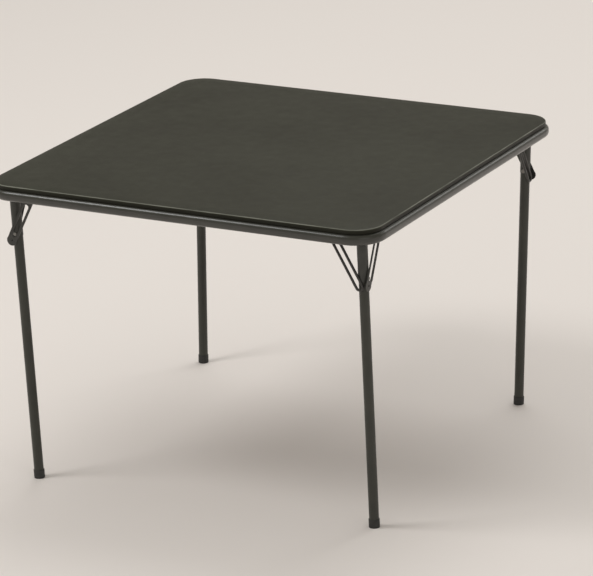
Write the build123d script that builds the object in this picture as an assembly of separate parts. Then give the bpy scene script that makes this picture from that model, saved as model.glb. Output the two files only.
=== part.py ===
from build123d import *
import math
import os

# Whole table
side = 978.0
height = 711.0
corner_radius = 70.0
overrun = 2.0
level_tolerance = 0.01

# Rolled steel rim, an inward facing channel
rim_height = 24.0
rim_width = 22.0
rim_wall = 1.2
rim_round = 10.0
rim_mouth = 12.0

# Padded top: vinyl cover, foam and hardboard panel
top_thickness = 15.0
top_inset = 7.0
top_edge_height = 11.6
top_edge_radius = 4.0
crown_step_heights = (13.7, 14.6)
crown_step_shares = (0.90, 0.62)
crown_flat_share = 0.22
cover_thickness = 0.9
cover_hem = 12.0
panel_thickness = 4.8

# Corner gusset plates under the panel
gusset_thickness = 2.0
gusset_tip = 34.0
gusset_past_hanger = 12.0

# Legs: round tube on a cross axle
leg_radius = 11.1
leg_wall = 1.2
leg_beyond_corner_centre = 11.5
leg_top_rise = 7.0
axle_above_rim = 6.0
leg_lean = 2.3

# Steel collar round the leg where the lock stud passes
collar_wall = 0.8
collar_below_axle = 14.0
collar_below_stud = 5.5

# Leg top plug, moulded, with the axle bore
plug_depth = 22.0
plug_bevel = 1.5

# Hinge axle and its push-on caps
axle_radius = 4.0
running_clearance = 0.05
axle_stub = 5.0
cap_radius = 6.5
cap_thickness = 3.0
cap_round = 1.2
cap_to_rim = 4.9

# Hinge bracket, a folded plate with one ear on each side of the leg
bracket_sheet = 2.0
inner_ear_gap = 2.2
ear_gap = 0.4
ear_drop = 10.0
ear_back = 16.0
ear_front = 14.0
ear_round = 7.0
hanger_gap = 3.0
hanger_half_width = 12.0
hanger_foot = 16.0

# Side strut, one bent wire welded to the leg face, on a sleeve
wire_radius = 3.0
wire_seat = 0.5
strut_drop = 118.0
strut_half_width = 9.0
strut_slope = 0.57
strut_bend = 7.0
sleeve_radius = 6.0
sleeve_overhang = 6.0

# Lock brace, a slotted stamped link beside the leg
brace_sheet = 1.8
brace_gap = 2.8
brace_pivot_ahead = 52.0
brace_pivot_above = 2.0
paddle_behind = 3.5
paddle_below = 108.0
paddle_radius = 12.5
brace_half_width = 12.0
brace_slot_half_width = 6.0
brace_slot_margin = 5.0
brace_slot_spare = 17.0
brace_bead_height = 0.9
brace_bead_width = 1.6
finger_hole_radius = 2.6

# Rivets and studs
rivet_radius = 2.5
rivet_head_radius = 4.6
rivet_head_height = 1.4
stud_gap = 0.3

# Panel screws
screw_radius = 1.9
screw_head_radius = 4.0
screw_head_height = 1.8
screw_bite = 4.0
screw_clear = 3.5

# Rubber foot tips
tip_wall = 1.3
tip_floor = 4.0
tip_height = 20.0
tip_trim = 1.0
tip_round = 2.0

# Places worked out from the sizes above
half_side = side / 2
rim_top = height - top_thickness
rim_bottom = rim_top - rim_height
rim_inner_half = half_side - rim_width
top_half = half_side - top_inset
top_corner = corner_radius - top_inset
gusset_top = rim_top + cover_thickness
gusset_bottom = gusset_top - gusset_thickness
web_bottom = gusset_bottom - bracket_sheet
axle_height = rim_bottom + axle_above_rim
leg_y = -(half_side - corner_radius + leg_beyond_corner_centre)
lean = math.radians(leg_lean)
leg_bottom = axle_height * (1 - 1 / math.cos(lean))
tube_bottom = leg_bottom + tip_floor
tube_top = axle_height + leg_top_rise
collar_radius = leg_radius + collar_wall
collar_top = axle_height - collar_below_axle
brace_inner = leg_radius + brace_gap
brace_outer = brace_inner + brace_sheet
outer_ear_start = brace_outer + ear_gap
outer_ear_end = outer_ear_start + bracket_sheet
inner_ear_start = -(leg_radius + inner_ear_gap)
strut_run = strut_drop * strut_slope
sleeve_start = -(strut_run - strut_half_width - sleeve_overhang)
sleeve_end = -(strut_run + strut_half_width + sleeve_overhang)
hanger_start = sleeve_end - hanger_gap
hanger_end = hanger_start - bracket_sheet
axle_outer_end = outer_ear_end + axle_stub
leg_x = rim_inner_half - cap_to_rim - cap_thickness - axle_outer_end
axle_inner_end = hanger_end - axle_stub
screw_row = hanger_half_width - leg_y + screw_clear + screw_head_radius
screw_by_bracket = leg_x + inner_ear_start - bracket_sheet - screw_clear - screw_head_radius
screw_by_hanger = leg_x + hanger_end - hanger_foot
gusset_reach = rim_inner_half - screw_by_hanger + gusset_past_hanger
brace_run = brace_pivot_ahead + paddle_behind
brace_fall = brace_pivot_above + paddle_below
brace_length = math.hypot(brace_run, brace_fall)
stud_below = ((brace_pivot_ahead * brace_fall - brace_pivot_above * brace_run)
              / (brace_run * math.cos(lean) + brace_fall * math.sin(lean)))
slot_far = math.hypot(brace_pivot_ahead - stud_below * math.sin(lean),
                      brace_pivot_above + stud_below * math.cos(lean))
slot_near = stud_below - brace_pivot_ahead
collar_bottom = axle_height - stud_below - collar_below_stud

corner_names = ("front", "right", "back", "left")


def rounded_plate(half, radius, z_low, z_high):
    """A square plate with rounded corners between two heights."""
    outline = RectangleRounded(2 * half, 2 * half, radius)
    return Pos(0, 0, z_low) * extrude(outline, z_high - z_low)


def cylinder_x(radius, x_start, x_end, y=0.0, z=0.0):
    """A round bar along X."""
    bar = Cylinder(radius, abs(x_end - x_start))
    return Pos((x_start + x_end) / 2, y, z) * Rot(0, 90, 0) * bar


def box_between(x_low, x_high, y_low, y_high, z_low, z_high):
    """A block from its low corner to its high corner."""
    block = Box(x_high - x_low, y_high - y_low, z_high - z_low)
    return Pos((x_low + x_high) / 2, (y_low + y_high) / 2, (z_low + z_high) / 2) * block


def edges_at(shape, z):
    """Edges that lie level at one height."""
    found = []
    for edge in shape.edges():
        box = edge.bounding_box()
        if abs(box.min.Z - z) < level_tolerance and abs(box.max.Z - z) < level_tolerance:
            found.append(edge)
    return found


def leaned(shape):
    """A leg piece made upright, tilted about the axle to the leg's lean."""
    return Pos(0, 0, axle_height) * Rot(leg_lean, 0, 0) * Pos(0, 0, -axle_height) * shape


def make_rim():
    """The steel rim: a rolled channel, open towards the middle of the table."""
    body = rounded_plate(half_side, corner_radius, rim_bottom, rim_top)
    body = fillet(edges_at(body, rim_bottom) + edges_at(body, rim_top), rim_round)
    hollow_half = half_side - rim_wall
    hollow = rounded_plate(hollow_half, corner_radius - rim_wall, rim_bottom + rim_wall, rim_top - rim_wall)
    hollow = fillet(edges_at(hollow, rim_bottom + rim_wall) + edges_at(hollow, rim_top - rim_wall),
                    rim_round - rim_wall)
    lip_half = rim_inner_half + rim_wall
    hollow -= rounded_plate(lip_half, corner_radius - rim_width + rim_wall, rim_bottom, rim_top)
    middle = (rim_bottom + rim_top) / 2
    mouth = rounded_plate(lip_half + overrun, corner_radius - rim_width + rim_wall,
                          middle - rim_mouth / 2, middle + rim_mouth / 2)
    inside = rounded_plate(rim_inner_half, corner_radius - rim_width, rim_bottom - overrun, rim_top + overrun)
    return body - hollow - mouth - inside


def crowned_form(shrink):
    """The padded top's outer form, drawn in all round by one thickness."""
    half = top_half - shrink
    base = rim_top + shrink
    edge_top = rim_top + top_edge_height - shrink
    slab = rounded_plate(half, top_corner - shrink, base, edge_top)
    levels = [(half - top_edge_radius, edge_top)]
    for step_height, share in zip(crown_step_heights, crown_step_shares):
        levels.append((half * share, rim_top + step_height - shrink))
    levels.append((half * crown_flat_share, height - shrink))
    shoulder = fillet(edges_at(slab, edge_top), top_edge_radius - shrink)
    outlines = []
    for reach, level in levels:
        outlines.append(Pos(0, 0, level) * RectangleRounded(2 * reach, 2 * reach, top_corner * reach / half))
    crown = loft(outlines, ruled=True)
    return shoulder + crown


def make_top():
    """Cover, foam and panel, cut from one crowned form."""
    outer = crowned_form(0.0)
    inner = crowned_form(cover_thickness)
    panel_top = rim_top + cover_thickness + panel_thickness
    window_half = top_half - cover_hem
    window = rounded_plate(window_half, top_corner - cover_hem, rim_top - overrun, rim_top + cover_thickness)
    cover = outer - inner - window
    lower = rounded_plate(half_side, corner_radius, rim_bottom, panel_top)
    panel = inner & lower
    foam = inner - lower
    return cover, foam, panel


def screw_places():
    """Screw centres on the front corner's gusset, three to a plate."""
    return ((screw_by_bracket, -screw_row), (screw_by_hanger, -screw_row), (screw_row, -screw_by_hanger))


def make_gusset():
    """A corner plate against the rim's inner edge, drilled for the panel screws."""
    edge = rim_inner_half
    far = edge - gusset_reach
    plate_corner = corner_radius - rim_width
    outline = Polyline((far, -edge), (edge, -edge), (edge, -far), (edge - gusset_tip, -far),
                       (far, -(edge - gusset_tip)), close=True)
    plate = Pos(0, 0, gusset_bottom) * extrude(make_face(outline), gusset_thickness)
    plate &= rounded_plate(edge, plate_corner, gusset_bottom - overrun, gusset_top + overrun)
    for x, y in screw_places():
        plate -= Pos(x, y, gusset_bottom) * Cylinder(screw_radius, 3 * gusset_thickness)
    return plate


def ear(x_start, x_end, y_back, y_front):
    """One hanging ear of a hinge bracket, rounded at its lower corners."""
    plate = box_between(min(x_start, x_end), max(x_start, x_end), -y_back, y_front,
                        axle_height - ear_drop, web_bottom)
    low_edges = [edge for edge in edges_at(plate, axle_height - ear_drop)
                 if abs((edge @ 0).X - (edge @ 1).X) > level_tolerance]
    plate = fillet(low_edges, ear_round)
    return plate


def make_bracket():
    """The folded plate that carries the axle beside the leg and the brace's rivet."""
    reach_front = brace_pivot_ahead + ear_front
    web = box_between(inner_ear_start - bracket_sheet, outer_ear_end, -ear_back, reach_front,
                      web_bottom, gusset_bottom)
    body = web + ear(outer_ear_start, outer_ear_end, ear_back, reach_front)
    body += ear(inner_ear_start - bracket_sheet, inner_ear_start, ear_back, ear_front)
    body -= cylinder_x(axle_radius, axle_inner_end, axle_outer_end, 0, axle_height)
    body -= cylinder_x(rivet_radius, outer_ear_start - overrun, outer_ear_end + overrun,
                       brace_pivot_ahead, axle_height + brace_pivot_above)
    return body


def make_hanger():
    """The small angle that carries the far end of the axle."""
    plate = ear(hanger_end, hanger_start, hanger_half_width, hanger_half_width)
    foot = box_between(hanger_end - hanger_foot, hanger_start, -hanger_half_width, hanger_half_width,
                       web_bottom, gusset_bottom)
    return plate + foot - cylinder_x(axle_radius, axle_inner_end, axle_outer_end, 0, axle_height)


def make_axle():
    """The steel rod on which a leg turns."""
    return cylinder_x(axle_radius, axle_inner_end, axle_outer_end, 0, axle_height)


def make_axle_caps():
    """A push-on cap over each end of the axle."""
    caps = []
    for end, seat in ((axle_outer_end, outer_ear_end), (axle_inner_end, hanger_end)):
        way = 1 if end > seat else -1
        start = seat
        stop = end + way * cap_thickness
        cap = cylinder_x(cap_radius, start, stop, 0, axle_height)
        rim_edges = [edge for edge in cap.edges() if abs((edge @ 0.5).X - stop) < level_tolerance]
        cap = fillet(rim_edges, cap_round)
        caps.append(cap - cylinder_x(axle_radius, start, end, 0, axle_height))
    return caps


def make_leg_tube():
    """A straight round tube, cross drilled for the axle and the lock stud."""
    tube = Pos(0, 0, tube_bottom) * extrude(Circle(leg_radius) - Circle(leg_radius - leg_wall),
                                            tube_top - tube_bottom)
    bore = axle_radius + running_clearance
    tube -= cylinder_x(bore, -2 * leg_radius, 2 * leg_radius, 0, axle_height)
    return tube - cylinder_x(rivet_radius, -2 * leg_radius, 2 * leg_radius, 0, axle_height - stud_below)


def make_leg_collar():
    """The thin collar round the tube, drilled for the lock stud."""
    ring = Circle(collar_radius) - Circle(leg_radius)
    collar = Pos(0, 0, collar_bottom) * extrude(ring, collar_top - collar_bottom)
    return collar - cylinder_x(rivet_radius, -2 * leg_radius, 2 * leg_radius, 0, axle_height - stud_below)


def make_leg_plug():
    """The moulded plug that closes the tube and guides it on the axle."""
    plug = Pos(0, 0, tube_top - plug_depth) * extrude(Circle(leg_radius - leg_wall), plug_depth)
    plug = chamfer(edges_at(plug, tube_top - plug_depth), plug_bevel)
    bore = axle_radius + running_clearance
    return plug - cylinder_x(bore, -2 * leg_radius, 2 * leg_radius, 0, axle_height)


def make_foot_tip():
    """A rubber cup pushed over the tube's lower end."""
    base = leg_bottom - tip_trim
    top = leg_bottom + tip_height
    cup = Pos(0, 0, base) * extrude(Circle(leg_radius + tip_wall), top - base)
    cup = fillet(edges_at(cup, base), tip_round)
    cup = chamfer(edges_at(cup, top), tip_wall / 2)
    cup -= Pos(0, 0, tube_bottom) * extrude(Circle(leg_radius), tip_height)
    floor = box_between(-half_side, half_side, -half_side, half_side, -half_side, 0)
    return leaned(cup) - floor


def make_strut():
    """One wire from the sleeve down to the leg face, across it and back up."""
    face_y = -(leg_radius + wire_radius - wire_seat)
    top_y = -(sleeve_radius + wire_radius - wire_seat)
    low_z = axle_height - strut_drop
    path = FilletPolyline(
        (-(strut_run + strut_half_width), top_y, axle_height),
        (-strut_half_width, face_y, low_z),
        (strut_half_width, face_y, low_z),
        (-(strut_run - strut_half_width), top_y, axle_height),
        radius=strut_bend)
    start = path @ 0
    wire = sweep(Plane(origin=start, z_dir=path % 0) * Circle(wire_radius), path=path)
    sleeve = cylinder_x(sleeve_radius, sleeve_start, sleeve_end, 0, axle_height)
    body = wire + sleeve
    body -= cylinder_x(axle_radius + running_clearance, axle_inner_end, axle_outer_end, 0, axle_height)
    body -= Pos(0, 0, collar_bottom) * extrude(Circle(collar_radius), collar_top - collar_bottom)
    return body - Pos(0, 0, tube_bottom) * extrude(Circle(leg_radius), tube_top - tube_bottom)


def make_stud():
    """The rivet through the leg that the brace's slot rides on."""
    stop = brace_inner - stud_gap
    height_now = axle_height - stud_below
    shank = cylinder_x(rivet_radius, -collar_radius, stop, 0, height_now)
    head = cylinder_x(rivet_head_radius, -collar_radius - rivet_head_height, -collar_radius, 0, height_now)
    washer = cylinder_x(rivet_radius + rivet_head_height, collar_radius, stop, 0, height_now)
    return shank + head + washer


def make_brace():
    """The slotted link, drawn along its own length and then laid on its slope."""
    body = Pos(-brace_length / 2, 0, 0) * Box(brace_length, 2 * brace_half_width, brace_sheet)
    body += Cylinder(brace_half_width, brace_sheet)
    body += Pos(-brace_length, 0, 0) * Cylinder(paddle_radius, brace_sheet)
    bead_length = brace_length - brace_half_width
    bead_z = brace_sheet / 2 + brace_bead_height / 2
    bead_start = slot_near - brace_slot_spare
    for way in (-1, 1):
        bead = Box(bead_length - bead_start, brace_bead_width, brace_bead_height)
        bead_y = way * (brace_half_width - brace_bead_width / 2)
        body += Pos(-(bead_length + bead_start) / 2, bead_y, bead_z) * bead
    slot_start = slot_near - brace_slot_spare
    slot_end = slot_far + brace_slot_margin
    slot_length = slot_end - slot_start
    slot_middle = (slot_start + slot_end) / 2
    slot = SlotCenterToCenter(slot_length - 2 * brace_slot_half_width, 2 * brace_slot_half_width)
    body -= Pos(-slot_middle, 0, -brace_sheet) * extrude(slot, 3 * brace_sheet)
    body -= Cylinder(rivet_radius + running_clearance, 3 * brace_sheet)
    body -= Pos(-brace_length, 0, 0) * Cylinder(finger_hole_radius, 3 * brace_sheet)
    pivot = ((brace_inner + brace_outer) / 2, brace_pivot_ahead, axle_height + brace_pivot_above)
    upward = (0, brace_pivot_ahead + paddle_behind, brace_pivot_above + paddle_below)
    return Plane(origin=pivot, x_dir=upward, z_dir=(1, 0, 0)) * body


def make_brace_rivet():
    """The rivet on which the brace turns, through the bracket's outer ear."""
    y = brace_pivot_ahead
    z = axle_height + brace_pivot_above
    inner = brace_inner - stud_gap / 2
    shank = cylinder_x(rivet_radius, inner - rivet_head_height, outer_ear_end + rivet_head_height, y, z)
    inner_head = cylinder_x(rivet_head_radius, inner - rivet_head_height, inner, y, z)
    outer_head = cylinder_x(rivet_head_radius, outer_ear_end, outer_ear_end + rivet_head_height, y, z)
    return shank + inner_head + outer_head


def make_panel_screws():
    """Pan head screws up through one gusset into the panel."""
    screws = []
    for x, y in screw_places():
        shank = Pos(x, y, gusset_bottom) * extrude(Circle(screw_radius), gusset_thickness + screw_bite)
        head = extrude(Circle(screw_head_radius), screw_head_height)
        head = Pos(x, y, gusset_bottom - screw_head_height) * head
        head = fillet(edges_at(head, gusset_bottom - screw_head_height), screw_head_height / 2)
        screws.append(shank + head)
    return screws


def at_corner(shape, index):
    """A piece made about the front leg's axis, set at one of the four corners."""
    return Rot(0, 0, 90 * index) * Pos(leg_x, leg_y, 0) * shape


def turned(shape, index):
    """A piece made in the front corner, turned to one of the four corners."""
    return Rot(0, 0, 90 * index) * shape


def write(name, shape):
    """One file for one sub-part."""
    export_step(shape, os.path.join("parts", name + ".step"))


def main():
    os.makedirs("parts", exist_ok=True)
    write("rim_frame", make_rim())
    cover, foam, panel = make_top()
    all_screws = []
    for index in range(len(corner_names)):
        all_screws += [turned(screw, index) for screw in make_panel_screws()]
    for screw in all_screws:
        panel -= screw
    write("vinyl_cover", cover)
    write("foam_pad", foam)
    write("top_panel", panel)
    write("panel_screws", Compound(children=all_screws))
    caps = []
    rivets = []
    for index, corner in enumerate(corner_names):
        write("corner_gusset_" + corner, turned(make_gusset(), index))
        write("hinge_bracket_" + corner, at_corner(make_bracket(), index))
        write("axle_hanger_" + corner, at_corner(make_hanger(), index))
        write("hinge_axle_" + corner, at_corner(make_axle(), index))
        write("leg_tube_" + corner, at_corner(leaned(make_leg_tube()), index))
        write("leg_collar_" + corner, at_corner(leaned(make_leg_collar()), index))
        write("leg_plug_" + corner, at_corner(leaned(make_leg_plug()), index))
        write("foot_tip_" + corner, at_corner(make_foot_tip(), index))
        write("side_strut_" + corner, at_corner(leaned(make_strut()), index))
        write("lock_stud_" + corner, at_corner(leaned(make_stud()), index))
        write("lock_brace_" + corner, at_corner(make_brace(), index))
        caps += [at_corner(cap, index) for cap in make_axle_caps()]
        rivets.append(at_corner(make_brace_rivet(), index))
    write("axle_caps", Compound(children=caps))
    write("brace_rivets", Compound(children=rivets))


main()
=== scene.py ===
import math

import bmesh
import bpy
from mathutils import Matrix, Vector, noise


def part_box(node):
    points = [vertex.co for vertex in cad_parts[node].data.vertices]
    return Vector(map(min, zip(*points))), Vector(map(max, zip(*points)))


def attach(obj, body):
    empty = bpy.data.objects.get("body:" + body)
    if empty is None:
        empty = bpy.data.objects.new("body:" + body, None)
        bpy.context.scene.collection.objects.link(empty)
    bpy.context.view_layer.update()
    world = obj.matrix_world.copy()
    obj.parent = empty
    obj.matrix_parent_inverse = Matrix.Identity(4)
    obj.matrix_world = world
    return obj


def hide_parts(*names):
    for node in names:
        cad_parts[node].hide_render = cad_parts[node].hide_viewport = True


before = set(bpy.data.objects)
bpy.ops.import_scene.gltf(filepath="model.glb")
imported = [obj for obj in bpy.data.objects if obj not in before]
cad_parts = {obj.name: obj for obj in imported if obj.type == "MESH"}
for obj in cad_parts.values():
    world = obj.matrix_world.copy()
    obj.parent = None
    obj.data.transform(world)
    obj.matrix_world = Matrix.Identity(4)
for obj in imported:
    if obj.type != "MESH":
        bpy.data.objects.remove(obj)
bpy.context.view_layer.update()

MM = 0.001
CORNERS = ("front", "right", "back", "left")

# Photograph's view
camera_azimuth = math.radians(28.02)
camera_elevation = math.radians(18.42)
camera_roll = math.radians(-1.72)
camera_distance = 8.9
camera_aim = Vector((0.1067, -0.116, 0.423))
camera_lens = 238.5
camera_sensor = 36.0
camera_reach = 100.0

# Studio
floor_size = 60.0
floor_colour = (0.86, 0.805, 0.755)
floor_roughness = 0.9
sky_colour = (0.95, 0.93, 0.90)
sky_strength = 0.56
backdrop_colour = (0.31, 0.30, 0.24)
horizon_rise_low = 0.07
horizon_rise_high = 0.24

# Lamps: place, width and power
lamp_aim = Vector((0.0, 0.0, 0.5))
lamps = {
    "key_lamp": ((-2.3, -1.9, 4.1), 1.5, 54.0),
    "fill_lamp": ((3.4, -2.4, 2.4), 2.4, 8.0),
    "overhead_lamp": ((-0.8, 4.0, 7.5), 5.0, 165.0),
    "side_lamp": ((3.2, 7.6, 4.4), 3.0, 45.0),
}

# Padded top: edge and hem
edge_roll = 3.2 * MM
hem_width = 12.0 * MM
hem_lift = 0.9 * MM
tuck_depth = 0.6 * MM
tuck_start_share = 1.6
tuck_foot_share = 0.06
tuck_bend_power = 1.5
pad_corner = 63.0 * MM
corner_share = 0.6
corner_least = 0.2 * MM
corner_most_share = 0.98
skin_thickness = 0.85 * MM

# Padded top: crown, waves and small folds
crown_rise = 3.4 * MM
crown_power = 6
edge_puff = 0.5 * MM
puff_width = 40.0 * MM
box_margin = 0.02 * MM
top_wave = 0.18 * MM
top_wave_scale = 7.0
top_wave_layer = 3.1
top_wave_fade = 30.0 * MM
top_wave_drop_share = 0.6
pleat_depth = 0.35 * MM
pleat_count = 46.0
pleat_start = 1.0 * MM

# Padded top: points and rings
tuck_steps = 4
roll_steps = 6
side_points = 44
corner_points = 20
top_rings = 34
ring_spread_power = 1.7

# Legs, wires and corner plates, as the solids have them
leg_radius = 11.1 * MM
leg_lean = math.radians(2.3)
axle_x = 436.0 * MM
axle_y = -430.5 * MM
axle_height = 678.0 * MM
wire_radius = 3.0 * MM
wire_seat = 0.5 * MM
wire_drop = 118.0 * MM
rim_inner = 467.0 * MM
plate_bottom = 694.9 * MM
plate_reach = 146.3 * MM

# Weld beads
bead_radius = 1.3 * MM
bead_ripple_share = 0.22
bead_pitch = 1.6 * MM
bead_sides = 10
bead_rings_per_pitch = 4
bead_least_rings = 6
bead_end_share = 0.02
bead_end_power = 8
bead_sink_share = 0.3
wire_bead_half = 4.2 * MM
wire_bead_drop_share = 0.85
wire_bead_out_share = 0.8
stitch_length = 18.0 * MM
stitch_places_shares = (0.30, 0.58, 0.86)

# Texture scalings along x, y and z
even_scale = (1.0, 1.0, 1.0)
turned_scale = (1.0, 1.0, 9.0)
fibre_scale = (1.0, 5.0, 1.0)

# Noises: scale, detail and roughness
vinyl_wobble_noise = (260.0, 2.0, 0.5)
vinyl_fine_noise = (2400.0, 3.0, 0.5)
vinyl_patch_noise = (3.4, 4.0, 0.55)
vinyl_scuff_noise = (34.0, 4.0, 0.65)
# Noise that breaks the painted highlight along the cover's edge into patches.
vinyl_highlight_patch_noise = (13.0, 5.0, 0.6)
enamel_patch_noise = (16.0, 4.0, 0.6)
enamel_speck_noise = (900.0, 2.0, 0.5)
enamel_mark_noise = (70.0, 5.0, 0.65)
enamel_pebble_noise = (1100.0, 2.0, 0.5)
plate_blotch_noise = (240.0, 4.0, 0.6)
plate_line_noise = (900.0, 2.0, 0.5)
rubber_dust_noise = (120.0, 5.0, 0.65)
rubber_pore_noise = (1500.0, 2.0, 0.5)
nylon_cloud_noise = (90.0, 3.0, 0.5)
nylon_fine_noise = (1800.0, 2.0, 0.5)
board_blotch_noise = (14.0, 5.0, 0.6)
board_fibre_noise = (210.0, 6.0, 0.7)
foam_cell_noise = (900.0, 3.0, 0.5)

# Bumps: strength, and depth in metres
vinyl_grain_bump = (0.35, 0.0002)
vinyl_fine_bump = (0.15, 0.00006)
enamel_peel_depth = 0.00008
plate_bump = (0.12, 0.00005)
rubber_bump = (0.2, 0.00008)
nylon_bump = (0.12, 0.00005)
board_bump = (0.3, 0.0001)
foam_bump = (0.5, 0.0003)

# Vinyl: grain cells, colours, and stops by noise or by height on the cover
grain_scale = 620.0
grain_randomness = 0.95
grain_wobble = 0.0016
grain_tint_share = 0.35
grain_stops = [(0.0, 0.0), (0.22, 0.85), (0.6, 1.0)]
vinyl_tint_stops = [(0.30, (0.011, 0.0112, 0.006)), (0.72, (0.026, 0.0275, 0.018))]
# Painted shade: the cover's colour is darkened low on its side, by height.
painted_side_shade_stops = [(0.38, 0.55), (0.60, 1.0)]
# Painted highlight: a pale band by height along the cover's rolled edge, broken into patches, in the pale
# colour two lines below.
painted_edge_highlight_stops = [(0.62, 0.0), (0.68, 1.0), (0.74, 1.0), (0.765, 0.0)]
painted_highlight_patch_stops = [(0.30, 0.35), (0.62, 1.0)]
painted_highlight_colour = (0.21, 0.215, 0.18, 1.0)
vinyl_gloss_stops = [(0.38, 0.20), (0.60, 0.32)]
vinyl_rough_stops = [(0.25, 0.36), (0.75, 0.45)]
vinyl_glint = (1.0, 0.98, 0.84, 1.0)

# Powder coats: dark and light colour, least and most roughness, orange peel, clear coat
plain_coat = 0.12
rim_coat = 0.6
enamels = {
    "rim": ((0.022, 0.022, 0.017), (0.036, 0.035, 0.027), 0.30, 0.42, 0.10, rim_coat),
    "leg": ((0.022, 0.023, 0.016), (0.036, 0.036, 0.026), 0.36, 0.50, 0.14, plain_coat),
    "bracket": ((0.030, 0.031, 0.026), (0.050, 0.049, 0.042), 0.42, 0.58, 0.14, plain_coat),
    "wire": ((0.026, 0.025, 0.023), (0.044, 0.041, 0.036), 0.36, 0.50, 0.12, plain_coat),
    "brace": ((0.028, 0.028, 0.024), (0.048, 0.046, 0.040), 0.38, 0.52, 0.12, plain_coat),
}
enamel_tint_places = (0.30, 0.75)
enamel_rough_places = (0.3, 0.75)
speck_stops = [(0.70, 0.0), (0.78, 0.10)]
speck_share = 0.25
coat_roughness = 0.3

# Other finishes
plate_tint_stops = [(0.3, (0.20, 0.195, 0.18)), (0.7, (0.34, 0.33, 0.31))]
plate_rough_stops = [(0.3, 0.42), (0.7, 0.58)]
plate_metal = 0.85
rubber_tint_stops = [(0.35, (0.020, 0.020, 0.019)), (0.8, (0.045, 0.043, 0.040))]
rubber_rough_stops = [(0.3, 0.55), (0.8, 0.75)]
nylon_tint_stops = [(0.3, (0.022, 0.022, 0.022)), (0.7, (0.035, 0.034, 0.033))]
nylon_roughness = 0.45
board_tint_stops = [(0.3, (0.105, 0.062, 0.034)), (0.7, (0.165, 0.102, 0.058))]
board_fibre_stops = [(0.35, 0.62), (0.65, 1.0)]
board_fibre_share = 0.8
board_roughness = 0.72
foam_tint_stops = [(0.35, (0.42, 0.38, 0.29)), (0.7, (0.62, 0.58, 0.48))]
foam_roughness = 0.9

# Finish of each piece that keeps its own shape
single_finishes = {
    "rim_frame": "rim",
    "foam_pad": "foam",
    "top_panel": "hardboard",
    "panel_screws": "plated",
    "axle_caps": "plated",
    "brace_rivets": "plated",
}
corner_finishes = {
    "corner_gusset": "bracket",
    "hinge_bracket": "bracket",
    "axle_hanger": "bracket",
    "hinge_axle": "plated",
    "leg_tube": "leg",
    "leg_collar": "bracket",
    "leg_plug": "plastic",
    "foot_tip": "rubber",
    "side_strut": "wire",
    "lock_stud": "plated",
    "lock_brace": "brace",
}


def new_material(name):
    """A material, with its nodes, links and default shader."""
    material = bpy.data.materials.new(name)
    material.use_nodes = True
    nodes = material.node_tree.nodes
    return material, nodes, material.node_tree.links, nodes["Principled BSDF"]


def feed(links, value, socket):
    """A link from another node's socket, or a plain value."""
    if hasattr(value, "links"):
        links.new(value, socket)
    else:
        socket.default_value = value


def object_point(nodes, links, scale):
    """Object coordinates times a scale."""
    coords = nodes.new("ShaderNodeTexCoord")
    mapping = nodes.new("ShaderNodeMapping")
    mapping.inputs["Scale"].default_value = scale
    links.new(coords.outputs["Object"], mapping.inputs["Vector"])
    return mapping.outputs["Vector"]


def noise_texture(nodes, links, point, look):
    """A noise texture of the scale, detail and roughness given."""
    texture = nodes.new("ShaderNodeTexNoise")
    for socket, value in zip(("Scale", "Detail", "Roughness"), look):
        texture.inputs[socket].default_value = value
    links.new(point, texture.inputs["Vector"])
    return texture


def noise_at(nodes, links, point, look):
    """A noise texture's value."""
    return noise_texture(nodes, links, point, look).outputs["Fac"]


def ramp(nodes, links, value, stops):
    """A colour ramp. Each stop is a place and a colour, or a place and a grey level."""
    node = nodes.new("ShaderNodeValToRGB")
    elements = node.color_ramp.elements
    while len(elements) < len(stops):
        elements.new(0.5)
    for element, (place, colour) in zip(elements, stops):
        channels = colour if isinstance(colour, tuple) else (colour, colour, colour)
        element.position = place
        element.color = (*channels, 1.0)
    links.new(value, node.inputs["Fac"])
    return node.outputs["Color"]


def blend(nodes, links, kind, factor, first, second):
    """Two colours blended."""
    node = nodes.new("ShaderNodeMix")
    node.data_type = "RGBA"
    node.blend_type = kind
    feed(links, factor, node.inputs["Factor"])
    feed(links, first, node.inputs[6])
    feed(links, second, node.inputs[7])
    return node.outputs[2]


def math_node(nodes, links, kind, first, second):
    """One arithmetic step on two values or numbers."""
    node = nodes.new("ShaderNodeMath")
    node.operation = kind
    for socket, value in zip(node.inputs, (first, second)):
        feed(links, value, socket)
    return node.outputs["Value"]


def bump(nodes, links, height, strength, distance, under=None):
    """A bump node over an optional lower bump."""
    node = nodes.new("ShaderNodeBump")
    node.inputs["Strength"].default_value = strength
    node.inputs["Distance"].default_value = distance
    links.new(height, node.inputs["Height"])
    if under is not None:
        links.new(under, node.inputs["Normal"])
    return node.outputs["Normal"]


def grain_cells(nodes, links, point):
    """Leather-like cells with wavy borders, dark along the borders."""
    wobble = noise_texture(nodes, links, point, vinyl_wobble_noise)
    shrink = nodes.new("ShaderNodeVectorMath")
    shrink.operation = "SCALE"
    shrink.inputs["Scale"].default_value = grain_wobble
    links.new(wobble.outputs["Color"], shrink.inputs[0])
    warp = nodes.new("ShaderNodeVectorMath")
    warp.operation = "ADD"
    links.new(point, warp.inputs[0])
    links.new(shrink.outputs["Vector"], warp.inputs[1])
    cells = nodes.new("ShaderNodeTexVoronoi")
    cells.feature = "DISTANCE_TO_EDGE"
    cells.inputs["Scale"].default_value = grain_scale
    cells.inputs["Randomness"].default_value = grain_randomness
    links.new(warp.outputs["Vector"], cells.inputs["Vector"])
    return ramp(nodes, links, cells.outputs["Distance"], grain_stops)


def cover_height_share(nodes, links, point):
    """The height of a place within the cover's box, from 0 to 1."""
    low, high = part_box("vinyl_cover")
    split = nodes.new("ShaderNodeSeparateXYZ")
    links.new(point, split.inputs["Vector"])
    level = nodes.new("ShaderNodeMapRange")
    level.inputs["From Min"].default_value = low[2]
    level.inputs["From Max"].default_value = high[2]
    links.new(split.outputs["Z"], level.inputs["Value"])
    return level.outputs["Result"]


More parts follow.
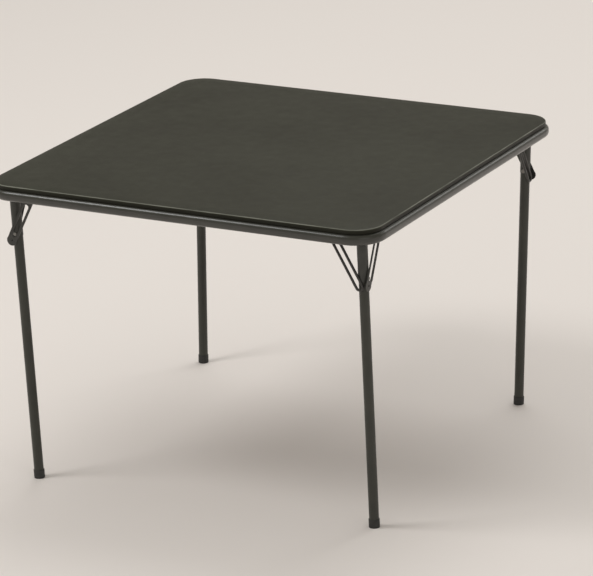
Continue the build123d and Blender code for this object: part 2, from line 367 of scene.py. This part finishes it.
def vinyl_material():
    """Grained vinyl, near black and a little olive, satin on top; its side darkened by painted shade and
    less glossy, and a painted highlight along its edge.
    """
    material, nodes, links, shader = new_material("grained_vinyl")
    point = object_point(nodes, links, even_scale)
    grain = grain_cells(nodes, links, point)
    patches = noise_at(nodes, links, point, vinyl_patch_noise)
    tint = ramp(nodes, links, patches, vinyl_tint_stops)
    grained = blend(nodes, links, "MULTIPLY", grain_tint_share, tint, grain)
    level = cover_height_share(nodes, links, point)
    # Painted shade: the side of the cover is darker low down, by height.
    painted_side_shade = ramp(nodes, links, level, painted_side_shade_stops)
    with_painted_shade = blend(nodes, links, "MULTIPLY", 1.0, grained, painted_side_shade)
    # Painted highlight: a paler band along the rolled edge, in patches.
    painted_edge_highlight = ramp(nodes, links, level, painted_edge_highlight_stops)
    highlight_patch_noise = noise_at(nodes, links, point, vinyl_highlight_patch_noise)
    highlight_patches = ramp(nodes, links, highlight_patch_noise, painted_highlight_patch_stops)
    painted_highlight_mask = math_node(nodes, links, "MULTIPLY", painted_edge_highlight, highlight_patches)
    with_painted_highlight = blend(nodes, links, "MIX", painted_highlight_mask, with_painted_shade, painted_highlight_colour)
    links.new(with_painted_highlight, shader.inputs["Base Color"])
    gloss = ramp(nodes, links, level, vinyl_gloss_stops)
    links.new(gloss, shader.inputs["Specular IOR Level"])
    scuffs = noise_at(nodes, links, point, vinyl_scuff_noise)
    rough = ramp(nodes, links, scuffs, vinyl_rough_stops)
    links.new(rough, shader.inputs["Roughness"])
    fine = noise_at(nodes, links, point, vinyl_fine_noise)
    grain_normal = bump(nodes, links, grain, *vinyl_grain_bump)
    normal = bump(nodes, links, fine, *vinyl_fine_bump, grain_normal)
    links.new(normal, shader.inputs["Normal"])
    shader.inputs["Specular Tint"].default_value = vinyl_glint
    return material


def enamel_material(name, dark, light, rough_low, rough_high, peel, coat):
    """Satin powder coat with orange peel, pale specks and uneven gloss."""
    material, nodes, links, shader = new_material(name)
    point = object_point(nodes, links, even_scale)
    patches = noise_at(nodes, links, point, enamel_patch_noise)
    tint = ramp(nodes, links, patches, list(zip(enamel_tint_places, (dark, light))))
    specks = noise_at(nodes, links, point, enamel_speck_noise)
    speck_mask = ramp(nodes, links, specks, speck_stops)
    speckled = blend(nodes, links, "ADD", speck_share, tint, speck_mask)
    links.new(speckled, shader.inputs["Base Color"])
    marks = noise_at(nodes, links, point, enamel_mark_noise)
    rough = ramp(nodes, links, marks, list(zip(enamel_rough_places, (rough_low, rough_high))))
    links.new(rough, shader.inputs["Roughness"])
    pebbles = noise_at(nodes, links, point, enamel_pebble_noise)
    links.new(bump(nodes, links, pebbles, peel, enamel_peel_depth), shader.inputs["Normal"])
    shader.inputs["Coat Weight"].default_value = coat
    shader.inputs["Coat Roughness"].default_value = coat_roughness
    return material


def plated_material():
    """Dull zinc plate with fine turning marks."""
    material, nodes, links, shader = new_material("dull_zinc_plate")
    point = object_point(nodes, links, even_scale)
    blotches = noise_at(nodes, links, point, plate_blotch_noise)
    links.new(ramp(nodes, links, blotches, plate_tint_stops), shader.inputs["Base Color"])
    links.new(ramp(nodes, links, blotches, plate_rough_stops), shader.inputs["Roughness"])
    lines = noise_at(nodes, links, object_point(nodes, links, turned_scale), plate_line_noise)
    links.new(bump(nodes, links, lines, *plate_bump), shader.inputs["Normal"])
    shader.inputs["Metallic"].default_value = plate_metal
    return material


def rubber_material():
    """Matt black moulded rubber, a little dusty."""
    material, nodes, links, shader = new_material("moulded_rubber")
    point = object_point(nodes, links, even_scale)
    dust = noise_at(nodes, links, point, rubber_dust_noise)
    links.new(ramp(nodes, links, dust, rubber_tint_stops), shader.inputs["Base Color"])
    links.new(ramp(nodes, links, dust, rubber_rough_stops), shader.inputs["Roughness"])
    pores = noise_at(nodes, links, point, rubber_pore_noise)
    links.new(bump(nodes, links, pores, *rubber_bump), shader.inputs["Normal"])
    return material


def plastic_material():
    """Black moulded nylon."""
    material, nodes, links, shader = new_material("moulded_nylon")
    point = object_point(nodes, links, even_scale)
    cloud = noise_at(nodes, links, point, nylon_cloud_noise)
    links.new(ramp(nodes, links, cloud, nylon_tint_stops), shader.inputs["Base Color"])
    shader.inputs["Roughness"].default_value = nylon_roughness
    fine = noise_at(nodes, links, point, nylon_fine_noise)
    links.new(bump(nodes, links, fine, *nylon_bump), shader.inputs["Normal"])
    return material


def hardboard_material():
    """Brown pressed fibre board, with fibres and darker blotches."""
    material, nodes, links, shader = new_material("pressed_hardboard")
    point = object_point(nodes, links, even_scale)
    blotches = noise_at(nodes, links, point, board_blotch_noise)
    base = ramp(nodes, links, blotches, board_tint_stops)
    fibres = noise_at(nodes, links, object_point(nodes, links, fibre_scale), board_fibre_noise)
    fibre_tint = ramp(nodes, links, fibres, board_fibre_stops)
    fibrous = blend(nodes, links, "MULTIPLY", board_fibre_share, base, fibre_tint)
    links.new(fibrous, shader.inputs["Base Color"])
    shader.inputs["Roughness"].default_value = board_roughness
    links.new(bump(nodes, links, fibres, *board_bump), shader.inputs["Normal"])
    return material


def foam_material():
    """Pale open celled foam."""
    material, nodes, links, shader = new_material("cut_foam")
    point = object_point(nodes, links, even_scale)
    cells = noise_at(nodes, links, point, foam_cell_noise)
    links.new(ramp(nodes, links, cells, foam_tint_stops), shader.inputs["Base Color"])
    shader.inputs["Roughness"].default_value = foam_roughness
    links.new(bump(nodes, links, cells, *foam_bump), shader.inputs["Normal"])
    return material


def give(node, material):
    """One material on every face of a carried-over piece."""
    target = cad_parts[node]
    target.data.materials.clear()
    target.data.materials.append(material)
    for face in target.data.polygons:
        face.material_index = 0


def finished_object(name, mesh):
    """A smooth object in the scene from a drawn mesh."""
    bmesh.ops.recalc_face_normals(mesh, faces=mesh.faces)
    data = bpy.data.meshes.new(name)
    mesh.to_mesh(data)
    mesh.free()
    for face in data.polygons:
        face.use_smooth = True
    piece = bpy.data.objects.new(name, data)
    bpy.context.scene.collection.objects.link(piece)
    return piece


def join_rings(mesh, rings):
    """Faces between each ring of points and the next."""
    for first, second in zip(rings, rings[1:]):
        count = len(first)
        for index in range(count):
            after = (index + 1) % count
            mesh.faces.new((first[index], first[after], second[after], second[index]))


def outline_points(half, radius):
    """Points round a square with rounded corners, anticlockwise, with the way out at each."""
    points = []
    straight = half - radius
    for quarter in range(4):
        turn = Matrix.Rotation(quarter * math.pi / 2, 2)
        for step in range(side_points):
            along = -straight + 2 * straight * step / side_points
            points.append((turn @ Vector((half, along)), turn @ Vector((1.0, 0.0))))
        for step in range(corner_points):
            angle = math.pi / 2 * step / corner_points
            way = Vector((math.cos(angle), math.sin(angle)))
            centre = Vector((straight, straight))
            points.append((turn @ (centre + radius * way), turn @ way))
    return points


def cover_profile(half, base, shoulder, top):
    """The cover's cut from its hem to its middle: distance in from the edge, and height."""
    profile = [(hem_width, base + hem_lift), (hem_width, base), (tuck_depth * tuck_start_share, base)]
    side_height = shoulder - edge_roll - base
    for step in range(tuck_steps):
        share = step / tuck_steps
        inset = tuck_depth * (1 - share) ** tuck_bend_power
        profile.append((inset, base + side_height * (tuck_foot_share + (1 - tuck_foot_share) * share)))
    for step in range(roll_steps + 1):
        angle = math.pi / 2 * step / roll_steps
        inset = edge_roll * (1 - math.cos(angle))
        profile.append((inset, shoulder - edge_roll * (1 - math.sin(angle))))
    for ring in range(1, top_rings + 1):
        share = (ring / (top_rings + 1)) ** ring_spread_power
        inset = edge_roll + (half - edge_roll) * share
        dome = crown_rise * (1 - (1 - inset / half) ** crown_power)
        puff = edge_puff * math.sin(min(1.0, (inset - edge_roll) / puff_width) * math.pi)
        profile.append((inset, min(shoulder + dome + puff, top - box_margin)))
    return profile


def make_padded_top():
    """The vinyl cover over foam: hem, side, rolled edge and a shallow crown."""
    low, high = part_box("vinyl_cover")
    half = high[0]
    base = low[2]
    top = high[2]
    shoulder = top - crown_rise
    mesh = bmesh.new()
    rings = []
    for inset, height in cover_profile(half, base, shoulder, top):
        reach = half - inset
        radius = max(pad_corner - inset, reach * pad_corner / half * corner_share, corner_least)
        is_side = inset < edge_roll and height > base + pleat_start
        ring = []
        for (x, y), way in outline_points(reach, min(radius, reach * corner_most_share)):
            z = height
            if is_side:
                diagonal = abs(way.x * way.y) * 2
                rise_share = (shoulder - height) / (shoulder - base)
                folds = math.sin(math.atan2(way.y, way.x) * pleat_count)
                pull = -pleat_depth * diagonal * rise_share * (0.5 + 0.5 * folds)
                x += way.x * pull
                y += way.y * pull
            if inset >= edge_roll:
                ripple = noise.noise(Vector((x * top_wave_scale, y * top_wave_scale, top_wave_layer)))
                z += top_wave * ripple * min(1.0, inset / top_wave_fade) - top_wave * top_wave_drop_share
                z = min(z, top)
            ring.append(mesh.verts.new((x, y, z)))
        rings.append(ring)
    join_rings(mesh, rings)
    mesh.faces.new(rings[-1])
    cover = finished_object("padded_top_cover", mesh)
    skin = cover.modifiers.new("skin", "SOLIDIFY")
    skin.thickness = skin_thickness
    skin.offset = -1.0
    return cover


def turned(point, index):
    """A place at the front corner, turned to one of the four corners."""
    return Matrix.Rotation(index * math.pi / 2, 3, "Z") @ point


def on_leg(x, y, drop, index):
    """A place on a leg, given from its axle with the leg upright, as it stands with its lean."""
    leaned = Matrix.Rotation(leg_lean, 3, "X") @ Vector((x, y, -drop))
    return turned(leaned + Vector((axle_x, axle_y, axle_height)), index)


def make_bead(name, start, stop, body, material):
    """A rippled weld bead between two places."""
    along = stop - start
    steps = max(bead_least_rings, int(along.length / bead_pitch * bead_rings_per_pitch))
    way = along.normalized()
    side_way = way.orthogonal().normalized()
    other_way = way.cross(side_way)
    mesh = bmesh.new()
    rings = []
    for step in range(steps + 1):
        share = step / steps
        middle = start + along * share
        end_round = math.sqrt(max(bead_end_share, 1 - (2 * share - 1) ** bead_end_power))
        ripple = 1 - bead_ripple_share * abs(math.sin(math.pi * along.length * share / bead_pitch))
        radius = bead_radius * end_round * ripple
        ring = []
        for corner in range(bead_sides):
            angle = 2 * math.pi * corner / bead_sides
            out_way = side_way * math.cos(angle) + other_way * math.sin(angle)
            ring.append(mesh.verts.new(middle + radius * out_way))
        rings.append(ring)
    join_rings(mesh, rings)
    mesh.faces.new(rings[0])
    mesh.faces.new(rings[-1])
    bead = finished_object(name, mesh)
    bead.data.materials.append(material)
    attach(bead, body)


def make_welds(materials):
    """Beads where each strut's wire meets its leg, and stitches where the corner plates meet the rim."""
    bar_y = -(leg_radius + wire_radius - wire_seat)
    bead_y = bar_y + wire_radius * wire_bead_out_share
    edge = rim_inner - bead_radius * bead_sink_share
    for index, corner in enumerate(CORNERS):
        for number, way in enumerate((-1, 1)):
            drop = wire_drop + way * wire_radius * wire_bead_drop_share
            start = on_leg(-wire_bead_half, bead_y, drop, index)
            stop = on_leg(wire_bead_half, bead_y, drop, index)
            name = "wire_weld_%s_%d" % (corner, number)
            make_bead(name, start, stop, "leg_" + corner, materials["wire"])
        for number, share in enumerate(stitch_places_shares):
            middle = rim_inner - plate_reach * share
            low = middle - stitch_length / 2
            high = middle + stitch_length / 2
            along_x = ((low, -edge), (high, -edge))
            along_y = ((edge, -high), (edge, -low))
            for side, ends in enumerate((along_x, along_y)):
                start, stop = [turned(Vector((*end, plate_bottom)), index) for end in ends]
                name = "plate_weld_%s_%d" % (corner, 2 * number + side)
                make_bead(name, start, stop, "top", materials["bracket"])


def dress_carried_pieces(materials):
    """The procedural finish of every piece that keeps its own shape."""
    for name, finish in single_finishes.items():
        give(name, materials[finish])
    for corner in CORNERS:
        for piece, finish in corner_finishes.items():
            give(piece + "_" + corner, materials[finish])


def plain_material(name, colour, rough):
    """A flat studio finish."""
    material, _, _, shader = new_material(name)
    shader.inputs["Base Color"].default_value = (*colour, 1.0)
    shader.inputs["Roughness"].default_value = rough
    return material


def make_floor():
    """A wide pale floor."""
    bpy.ops.mesh.primitive_plane_add(size=floor_size, location=(0, 0, 0))
    floor = bpy.context.object
    floor.name = "studio_floor"
    floor.data.materials.append(plain_material("floor_paper", floor_colour, floor_roughness))


def make_sky():
    """An even sky for the light, and for camera and reflections a backdrop that meets the floor softly."""
    world = bpy.data.worlds.new("studio_sky")
    bpy.context.scene.world = world
    world.use_nodes = True
    nodes = world.node_tree.nodes
    links = world.node_tree.links
    light_sky = nodes["Background"]
    light_sky.inputs["Color"].default_value = (*sky_colour, 1.0)
    light_sky.inputs["Strength"].default_value = sky_strength
    seen_sky = nodes.new("ShaderNodeBackground")
    direction = nodes.new("ShaderNodeTexCoord")
    rise = nodes.new("ShaderNodeSeparateXYZ")
    links.new(direction.outputs["Generated"], rise.inputs["Vector"])
    far_floor = tuple(floor * sky * sky_strength for floor, sky in zip(floor_colour, sky_colour))
    backdrop_stops = [(horizon_rise_low, far_floor), (horizon_rise_high, backdrop_colour)]
    links.new(ramp(nodes, links, rise.outputs["Z"], backdrop_stops), seen_sky.inputs["Color"])
    path = nodes.new("ShaderNodeLightPath")
    seen = math_node(nodes, links, "ADD", path.outputs["Is Camera Ray"], path.outputs["Is Glossy Ray"])
    seen = math_node(nodes, links, "ADD", seen, path.outputs["Is Transmission Ray"])
    seen = math_node(nodes, links, "MINIMUM", seen, 1.0)
    mix = nodes.new("ShaderNodeMixShader")
    links.new(seen, mix.inputs["Fac"])
    links.new(light_sky.outputs["Background"], mix.inputs[1])
    links.new(seen_sky.outputs["Background"], mix.inputs[2])
    links.new(mix.outputs["Shader"], nodes["World Output"].inputs["Surface"])


def make_lamps():
    """Four soft round lamps, all turned to the table."""
    for name, (place, size, power) in lamps.items():
        light = bpy.data.lights.new(name, "AREA")
        light.shape = "DISK"
        light.size = size
        light.energy = power
        lamp = bpy.data.objects.new(name, light)
        lamp.location = place
        lamp.rotation_euler = (lamp_aim - Vector(place)).to_track_quat("-Z", "Y").to_euler()
        bpy.context.scene.collection.objects.link(lamp)


def make_camera():
    """The photograph's view: a long lens from the front right, a little above."""
    data = bpy.data.cameras.new("photo_camera")
    data.lens = camera_lens
    data.sensor_width = camera_sensor
    data.clip_end = camera_reach
    camera = bpy.data.objects.new("photo_camera", data)
    level = math.cos(camera_elevation)
    forward_x = -math.sin(camera_azimuth) * level
    forward_y = math.cos(camera_azimuth) * level
    forward = Vector((forward_x, forward_y, -math.sin(camera_elevation)))
    side_way = forward.cross(Vector((0, 0, 1))).normalized()
    up = side_way.cross(forward)
    right = side_way * math.cos(camera_roll) + up * math.sin(camera_roll)
    tilted_up = up * math.cos(camera_roll) - side_way * math.sin(camera_roll)
    turn = Matrix((right, tilted_up, -forward)).transposed()
    camera.matrix_world = Matrix.Translation(camera_aim - forward * camera_distance) @ turn.to_4x4()
    bpy.context.scene.collection.objects.link(camera)
    bpy.context.scene.camera = camera


make_camera()
make_floor()
make_sky()
make_lamps()

finishes_made = {"vinyl": vinyl_material()}
for enamel_name, enamel_look in enamels.items():
    finishes_made[enamel_name] = enamel_material(enamel_name + "_powder_coat", *enamel_look)
finishes_made["plated"] = plated_material()
finishes_made["rubber"] = rubber_material()
finishes_made["plastic"] = plastic_material()
finishes_made["hardboard"] = hardboard_material()
finishes_made["foam"] = foam_material()
dress_carried_pieces(finishes_made)

cover_piece = make_padded_top()
cover_piece.data.materials.append(finishes_made["vinyl"])
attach(cover_piece, "top")
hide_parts("vinyl_cover")

make_welds(finishes_made)

bpy.context.scene.view_settings.view_transform = "Standard"
